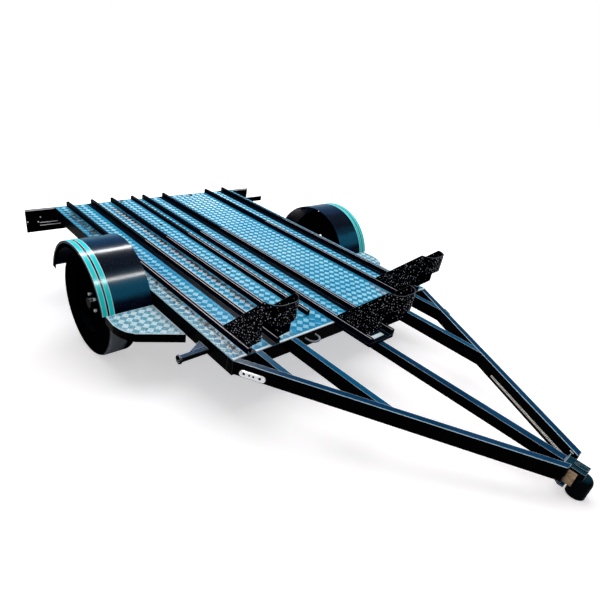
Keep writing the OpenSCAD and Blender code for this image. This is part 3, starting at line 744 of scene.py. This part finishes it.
def add_glint_specks(label, x, y, total, on_plan):
    """Small flat specks on both faces of a chock, painted glints in two brightnesses."""
    rng = random.Random(label)
    shape = bmesh.new()
    for column in range(int(total / SPECK_STEP)):
        for row in range(int(SPECK_HEIGHT / SPECK_STEP)):
            along = (column + rng.uniform(0.1, 0.9)) * SPECK_STEP
            up = CHOCK_FOOT + (row + rng.uniform(0.1, 0.9)) * SPECK_STEP
            size = rng.uniform(0.0010, 0.0025)
            stretch = rng.uniform(1.0, 2.1)
            turn = rng.choice((45, -45)) + rng.uniform(-12, 12)
            bright = rng.random() < BRIGHT_SHARE
            outer = rng.random() < OUTSIDE_SHARE
            px, py, nx, ny = on_plan(min(max(along, 0.006), total - 0.006))
            if rng.random() < MISSING_SHARE:
                continue
            if not all(inside(px - 0.004, up + over, CHOCK_SIDE) for over in (0, 0.005)):
                continue
            reach = SPECK_LIFT if outer else -CHOCK_WALL - SPECK_LIFT
            way = Vector((nx, ny, 0)) * (1 if outer else -1)
            side = Vector((-way.y, way.x, 0))
            place = (Matrix.Translation((x + px + nx * reach, y + py + ny * reach, up))
                     @ Matrix((side, Vector((0, 0, 1)), way)).transposed().to_4x4()
                     @ Matrix.Rotation(math.radians(turn), 4, "Z") @ Matrix.Diagonal((stretch, 1, 1, 1)))
            made = bmesh.ops.create_cone(shape, cap_ends=True, segments=5, radius1=size, radius2=size * 0.8,
                                         depth=0.0024 if outer else 0.0008, matrix=place)["verts"]
            for face in {face for vert in made for face in vert.link_faces}:
                face.material_index = int(not bright)
    make_piece("chock_glint_specks_" + label, shape, (CHOCK_GLINT, GLINT_DIM), smooth=False)


def chock_treads():
    """Black raised bars round the outside of each chock, with bright specks painted as glints."""
    half = CHOCK_WID / 2
    straight = CHOCK_LEN - CHOCK_PLAN_R
    quarter = CHOCK_PLAN_R * math.pi / 2
    total = 2 * straight + 2 * quarter + 2 * (half - CHOCK_PLAN_R)

    def on_plan(along):
        """Place and outward direction in plan, from the right cheek's rear end round to the left one's."""
        side = -1
        if along > total / 2:
            along = total - along
            side = 1
        if along < straight:
            return along, side * half, 0.0, side * 1.0
        if along < straight + quarter:
            angle = (along - straight) / CHOCK_PLAN_R
            ahead, outward = math.sin(angle), math.cos(angle)
            return (straight + CHOCK_PLAN_R * ahead,
                    side * (half - CHOCK_PLAN_R + CHOCK_PLAN_R * outward), ahead, side * outward)
        return CHOCK_LEN, side * (total / 2 - along), 1.0, 0.0

    for label, x, y in CHOCKS:
        shape = tread_field(0.004, total - 0.004, CHOCK_FOOT, CHOCK_TOP,
                            keep=lambda along, z: inside(on_plan(along)[0] - 0.001, z, CHOCK_SIDE))
        for vert in shape.verts:
            px, py, nx, ny = on_plan(vert.co.x)
            height = vert.co.z
            vert.co = Vector((x + px + nx * height, y + py + ny * height, vert.co.y))
        make_piece("tread_chock_" + label, shape, CHOCK_BARS, smooth=False)
        add_glint_specks(label, x, y, total, on_plan)


deck_treads()
step_treads()
chock_treads()


# Mudguard stripes and turned edge

STRIPE_EDGES = (0.001, 0.038)
STRIPE_WID = 0.0275
STRIPE_BORDER = 0.0030
LIP_DEPTH = 0.033


def guard_band(side, inner, outer, rise, name, material, foot=0.002):
    """A band round a mudguard, between two distances from the centre line.

    foot is how far outside the mudguard's radius the band starts, and rise is its thickness.
    """
    shape = bmesh.new()
    start = math.asin((-STEP_DROP - GUARD_Z) / GUARD_R)
    axis_point = Vector((GUARD_X, 0, GUARD_Z))
    corners = []
    for reach, y in ((foot, inner), (foot + rise, inner), (foot + rise, outer), (foot, outer)):
        r = GUARD_R + reach
        corners.append(shape.verts.new(
            (axis_point.x + r * math.cos(start), side * y, axis_point.z + r * math.sin(start))))
    face = shape.faces.new(corners)
    bmesh.ops.spin(shape, geom=[face, *face.edges, *face.verts], cent=axis_point, axis=(0, 1, 0),
                   angle=2 * start - math.pi, steps=64)
    make_piece(name, shape, material)


for side, label in SIDES:
    for number, edge in enumerate(STRIPE_EDGES, start=1):
        outer = GUARD_OUT - edge
        inner = outer - STRIPE_WID
        guard_band(side, inner, outer, 0.0004, "stripe_%s_%d" % (label, number), STRIPE_EDGE)
        guard_band(side, inner + STRIPE_BORDER, outer - STRIPE_BORDER, 0.0008,
                   "stripe_fill_%s_%d" % (label, number), STRIPE)
    # The sheet's outer edge is turned in towards the tyre; its flat black is painted shade over the gap.
    guard_band(side, GUARD_OUT - 0.004, GUARD_OUT - 0.001, LIP_DEPTH, "guard_lip_" + label, HOLE_BLACK,
               foot=-LIP_DEPTH)


# Small fittings

# Rails as (middle across, width over both rails, front end)
RAIL_PAIRS = ((-CHANNEL_Y, CHANNEL_WID, 0), (0, CHANNEL_WID, CENTRE_REACH), (CHANNEL_Y, CHANNEL_WID, 0),
              (-RAMP_Y, RAMP_WID, -RAMP_GAP))
INNER_EDGE = RAIL_TOP - 0.0033
LINE_RISE = 0.0003
# The rails' painted highlight lines are bright ahead of here and faint behind
LINE_CHANGE = -1.25
# The broken bright line on the tray's right edge, a painted highlight
DASHES = 26
DASH_START = -0.12
DASH_STEP = 0.0135
DASH_LEN = 0.010
# Bolt heads on deck and ramp, as (x, y, z, radius)
PLATE_BOLTS = ((-1.495, -RAMP_Y + 0.013, 0.0045, 0.010), (-0.726, -RAMP_Y + 0.013, 0.0045, 0.010),
               (-2.030, -RAMP_Y - 0.012, 0.0045, 0.014), (-2.020, 0.321, 0.0, 0.016))


def add_rail_line(shape, centre, half, inset, wide, rear, front):
    """Adds a line along the top of both rails of a pair, inset from the rails' outer sides."""
    for side in (-1, 1):
        y0, y1 = sorted((centre + side * (half - inset), centre + side * (half - inset - wide)))
        add_box(shape, (rear, y0, RAIL_H), (front, y1, RAIL_H + LINE_RISE))


def deck_fittings():
    """The plate's front edge and a strip on the tray painted bright as highlights, highlight lines painted
    on the rails, and bolt heads.
    """
    half = CHANNEL_WID / 2
    outer = CHANNEL_Y + half
    spans = [(y0 + 0.002, y1 - 0.002) for y0, y1 in
             ((-HALF_WID, -outer), (half - CHANNEL_Y, -half), (half, CHANNEL_Y - half), (outer, HALF_WID))]
    spans += [(y - FLOOR_HALF, y + FLOOR_HALF) for y in (-CHANNEL_Y, CHANNEL_Y)]
    shape = bmesh.new()
    for y0, y1 in spans:
        add_box(shape, (-0.009, y0, -PLATE_T), (0.0006, y1, 0.0016))
    add_box(shape, (0.190, -FLOOR_HALF, 0), (0.214, FLOOR_HALF, 0.0016))
    make_piece("plate_front_highlight", shape, PLATE_EDGE_HIGHLIGHT, smooth=False)

    shape = bmesh.new()
    faint = bmesh.new()
    for centre, wide, front in RAIL_PAIRS:
        for inset in (0.0003, INNER_EDGE):
            add_rail_line(shape, centre, wide / 2, inset, 0.003, LINE_CHANGE, front - 0.001)
        add_rail_line(faint, centre, wide / 2, INNER_EDGE, 0.0015, 0.03 - DECK_LEN, LINE_CHANGE)
    make_piece("rail_highlight_lines", shape, HIGHLIGHT_LINE_WHITE, smooth=False)
    dashes = bmesh.new()
    for i in range(DASHES):
        x = DASH_START + DASH_STEP * i
        add_box(dashes, (x, -half + 0.0002, RAIL_H + LINE_RISE),
                (x + DASH_LEN, -half + 0.0035, RAIL_H + 0.0008))
    make_piece("tray_edge_highlight", dashes, PALE_HIGHLIGHT, smooth=False)
    make_piece("rail_faint_highlight_lines", faint, HIGHLIGHT_LINE_DIM, smooth=False)

    shape = bmesh.new()
    for x, y, z, r in PLATE_BOLTS:
        add_rod(shape, (x, y, z), (x, y, z + 0.0030), r, 20)
    make_piece("plate_bolts", shape, HOLE_BLACK)


# Bolt heads on each lamp bracket, as (distance from the centre line, z)
BRACKET_BOLTS = ((0.936, -0.084), (0.869, -0.089), (0.852, -0.058))


def bracket_fittings():
    """Two rods, bolts and a light upper edge on each lamp bracket, all pale as painted highlights."""
    front = -DECK_LEN + 0.001
    for side, label in SIDES:
        shape = bmesh.new()
        for z in (-0.096, -0.116):
            add_rod(shape, (front + 0.004, side * 0.700, z), (front + 0.004, side * 0.860, z), 0.0022)
        for y, z in BRACKET_BOLTS:
            add_rod(shape, (front, side * y, z), (front + 0.005, side * y, z), 0.0045, 6)
        low, high = sorted((side * (HALF_WID + 0.002), side * 0.944))
        add_box(shape, (front - 0.0006, low, -0.0100), (front + 0.0006, high, -0.0035))
        make_piece("bracket_bolts_" + label, shape, PALE_HIGHLIGHT, smooth=False)


def lamp_fittings():
    """Dark reflector marks on the marker lamps."""
    for side, label in SIDES:
        turn = Matrix.Rotation(-side * math.atan(SLOPE), 4, "Z")
        middle = Vector((LAMP_X, side * (HALF_WID - SLOPE * LAMP_X), LAMP_Z))
        low, high = sorted((side * 0.0088, side * 0.0105))
        shape = bmesh.new()
        for x in (-0.038, 0.036):
            add_rod(shape, (x, side * 0.0088, 0), (x, side * 0.0105, 0), 0.0062, 16)
        for x in (-0.013, 0.006):
            add_box(shape, (x - 0.004, low, -0.0045), (x + 0.004, high, 0.0045))
        make_piece("lamp_marks_" + label, shape, HOLE_BLACK,
                   place=LEVEL @ Matrix.Translation(middle) @ turn)


def side_lens():
    """A small blue-green lens on the left tube's outer upper edge, just behind the brace."""
    x = 0.235
    turn = Matrix.Rotation(-math.atan(SLOPE), 4, "Z")
    place = LEVEL @ Matrix.Translation((x, HALF_WID - SLOPE * x, -0.014)) @ turn
    shape = bmesh.new()
    add_box(shape, (-0.030, 0.0005, -0.010), (0.030, 0.012, 0.010))
    bmesh.ops.bevel(shape, geom=list(shape.edges), offset=0.004, offset_type="OFFSET", segments=2,
                    profile=0.5, affect="EDGES", material=-1)
    make_piece("side_lens_left", shape, LENS_GREEN, place=place)


CONDUIT_REAR = 0.69
CONDUIT_FRONT = 1.13
CONDUIT_RIBS = 64
CONDUIT_Z = -0.050
CONDUIT_GAP = 0.005


def drawbar_fittings():
    """Corrugated conduit inside the left tube, weld beads at the nose painted pale as highlights, painted
    highlights along the tubes' upper edges and rusty cheeks.
    """
    skew = BAR_W / math.cos(math.atan(SLOPE))

    def inner_face(x):
        return HALF_WID - SLOPE * x - skew

    def beside_tube(x):
        return x, inner_face(x) - CONDUIT_GAP, CONDUIT_Z

    shape = bmesh.new()
    x0, x1 = 0.02, NOSE_X - 0.004
    for side, offset in ((-1, 0.0004), (1, skew - 0.0034)):
        plan = [(x, side * (HALF_WID - SLOPE * x - offset - w))
                for x, w in ((x0, 0), (x1, 0), (x1, 0.0030), (x0, 0.0030))]
        add_slab(shape, plan, -PLATE_T, 0.0004)
    make_piece("drawbar_highlight_lines", shape, HIGHLIGHT_LINE_BLUE, smooth=False)

    shape = bmesh.new()
    for i in range(CONDUIT_RIBS):
        x = CONDUIT_REAR + (CONDUIT_FRONT - CONDUIT_REAR) * i / CONDUIT_RIBS
        add_rod(shape, beside_tube(x), beside_tube(x + 0.0045), 0.0052, 10)
    make_piece("conduit_ribs", shape, CONDUIT_GREY)
    shape = bmesh.new()
    add_rod(shape, beside_tube(0.66), beside_tube(1.14), 0.0040, 10)
    make_piece("conduit_core", shape, HOLE_BLACK)

    shape = bmesh.new()
    for side in (-1, 1):
        for i in range(3):
            x = NOSE_X - 0.032 + 0.006 * i
            spot = Matrix.Translation((x, side * (inner_face(x) - 0.001), -0.012))
            bmesh.ops.create_icosphere(shape, subdivisions=2, radius=0.0028, matrix=spot)
    make_piece("nose_welds", shape, PALE_HIGHLIGHT)

    # Rusty cheek plate on each side of the coupling's channel, down to the foot plate
    shape = bmesh.new()
    for side in (-1, 1):
        low, high = sorted((side * 0.0325, side * 0.0365))
        add_box(shape, (NOSE_X + 0.0015, low, -0.0938), (NOSE_X + 0.033, high, -0.0300))
    make_piece("nose_cheeks", shape, RUST, smooth=False)


def tie_fittings():
    """A flat gusset behind each tie bar, from the side beam to halfway along the bar."""
    shape = bmesh.new()
    x = TIE_X - 0.010
    for side in (-1, 1):
        plan = [(px, side * py) for px, py in
                ((TIE_X - 0.062, HALF_WID), (x, HALF_WID), (x, HALF_WID + 0.085))]
        add_slab(shape, plan, TIE_Z + TIE_R - 0.004, 0.003)
    make_piece("tie_gussets", shape, FRAME_PAINT, smooth=False)


NUT_CIRCLE = 0.049
VALVE_REACH = 0.150


def wheel_fittings():
    """Four nuts and a valve on each wheel's outer side, pale as painted glints."""
    for side, label in SIDES:
        shape = bmesh.new()
        foot = side * DISC_OUT
        for i in range(4):
            angle = math.radians(45 + 90 * i)
            x = WHEEL_X + NUT_CIRCLE * math.cos(angle)
            z = WHEEL_Z + NUT_CIRCLE * math.sin(angle)
            add_rod(shape, (x, foot, z), (x, side * (DISC_OUT + 0.012), z), 0.0095, 6)
        x = WHEEL_X + VALVE_REACH
        add_rod(shape, (x, foot, WHEEL_Z), (x, side * (DISC_OUT + 0.022), WHEEL_Z), 0.004)
        make_piece("wheel_nuts_" + label, shape, PALE_HIGHLIGHT, body="wheel_" + label)


deck_fittings()
bracket_fittings()
lamp_fittings()
side_lens()
drawbar_fittings()
tie_fittings()
wheel_fittings()


# Stage, lights and camera

def seen_ray(tree):
    """Where a ray shows the background: straight to the camera, in a reflection or through glass."""
    path = tree.nodes.new("ShaderNodeLightPath")
    mirrored = math_node(tree, "MAXIMUM", path.outputs["Is Glossy Ray"],
                         path.outputs["Is Transmission Ray"])
    return math_node(tree, "MAXIMUM", path.outputs["Is Camera Ray"], mirrored)


# The even light from all round, and the floor's own glow: its strength near the trailer, and between
# which distances it grows to white
FILL_STRENGTH = 0.36
GLOW_STRENGTH = 0.52
GLOW_NEAR = 1.9
GLOW_FAR = 3.2


def studio():
    """Pale floor that fades into white, and even light from all round."""
    world = bpy.data.worlds.new("studio")
    bpy.context.scene.world = world
    world.use_nodes = True
    tree = world.node_tree
    fill = tree.nodes["Background"]
    fill.inputs["Color"].default_value = rgb(0.95, 0.96, 1.0)
    fill.inputs["Strength"].default_value = FILL_STRENGTH
    white = add_node(tree, "ShaderNodeBackground", color=rgb(1, 1, 1), strength=1.0)
    blend = tree.nodes.new("ShaderNodeMixShader")
    tree.links.new(seen_ray(tree), blend.inputs[0])
    tree.links.new(fill.outputs[0], blend.inputs[1])
    tree.links.new(white.outputs[0], blend.inputs[2])
    tree.links.new(blend.outputs[0], tree.nodes["World Output"].inputs["Surface"])

    floor_mesh = bpy.data.meshes.new("floor")
    shape = bmesh.new()
    bmesh.ops.create_grid(shape, x_segments=1, y_segments=1, size=60)
    shape.to_mesh(floor_mesh)
    shape.free()
    floor = bpy.data.objects.new("floor", floor_mesh)
    bpy.context.scene.collection.objects.link(floor)
    material, tree, shader = new_material("pale_floor", roughness=0.9, specular=0.0)
    shader.inputs["Base Color"].default_value = rgb(0.80, 0.775, 0.775)
    glow = add_node(tree, "ShaderNodeEmission", color=rgb(1.0, 0.985, 0.985))
    place = tree.nodes.new("ShaderNodeTexCoord")
    reach = add_node(tree, "ShaderNodeVectorMath", operation="LENGTH")
    tree.links.new(place.outputs["Object"], reach.inputs[0])
    ramp = add_node(tree, "ShaderNodeMapRange", from_min=GLOW_NEAR, from_max=GLOW_FAR,
                    to_min=GLOW_STRENGTH, to_max=1.0)
    tree.links.new(reach.outputs["Value"], ramp.inputs["Value"])
    seen = math_node(tree, "MULTIPLY", seen_ray(tree), ramp.outputs[0])
    tree.links.new(seen, glow.inputs["Strength"])
    both = tree.nodes.new("ShaderNodeAddShader")
    tree.links.new(shader.outputs[0], both.inputs[0])
    tree.links.new(glow.outputs[0], both.inputs[1])
    tree.links.new(both.outputs[0], tree.nodes["Material Output"].inputs["Surface"])
    floor_mesh.materials.append(material)


def soft_lamp(name, place, aim, size, power, tint=(1, 1, 1), only_gloss=False):
    """A rectangular lamp, its first size across the trailer; only_gloss keeps it to reflections."""
    data = bpy.data.lights.new(name, "AREA")
    data.shape = "RECTANGLE"
    data.size, data.size_y = size
    data.energy = power
    data.color = tint
    lamp = bpy.data.objects.new(name, data)
    back = (Vector(place) - Vector(aim)).normalized()
    side = (Vector((0, 1, 0)) - back * back.y).normalized()
    turn = Matrix((side, back.cross(side), back)).transposed()
    lamp.matrix_world = Matrix.Translation(place) @ turn.to_4x4()
    if only_gloss:
        data.use_shadow = False
        lamp.visible_diffuse = False
    bpy.context.scene.collection.objects.link(lamp)


# Camera: place, turn in degrees, focal length for a 36 mm wide picture, and the picture centre's shift
CAMERA_PLACE = (1.8655, -1.9033, 1.3376)
CAMERA_TURN = (66.153, -2.387, 48.170)
CAMERA_LENS = 28.7593
CAMERA_SHIFT = (0.03986, 0.02585)


def camera():
    data = bpy.data.cameras.new("camera")
    data.sensor_width = 36
    data.sensor_fit = "HORIZONTAL"
    data.lens = CAMERA_LENS
    data.shift_x, data.shift_y = CAMERA_SHIFT
    seen = bpy.data.objects.new("camera", data)
    seen.location = CAMERA_PLACE
    seen.rotation_euler = [math.radians(a) for a in CAMERA_TURN]
    bpy.context.scene.collection.objects.link(seen)
    bpy.context.scene.camera = seen


studio()
soft_lamp("sky", (-0.6, 0.4, 4.5), (-0.4, 0, 0), (4.5, 4.5), 165, (0.97, 0.985, 1.0))
# Two strip lamps whose reflections lie along the right mudguard, as (direction, breadth, power)
BAND_POINT = LEVEL @ Vector((-0.925, -0.869, 0.158))
STRIPS = (((-0.374, 0.372, 0.849), 0.26, 2000), ((0.620, 0.386, 0.682), 0.20, 2700))
for number, (way, wide, power) in enumerate(STRIPS, start=1):
    soft_lamp("strip_%d" % number, BAND_POINT + 3.5 * Vector(way), BAND_POINT, (2.4, wide), power,
              only_gloss=True)
camera()

bpy.context.scene.view_settings.view_transform = "Standard"
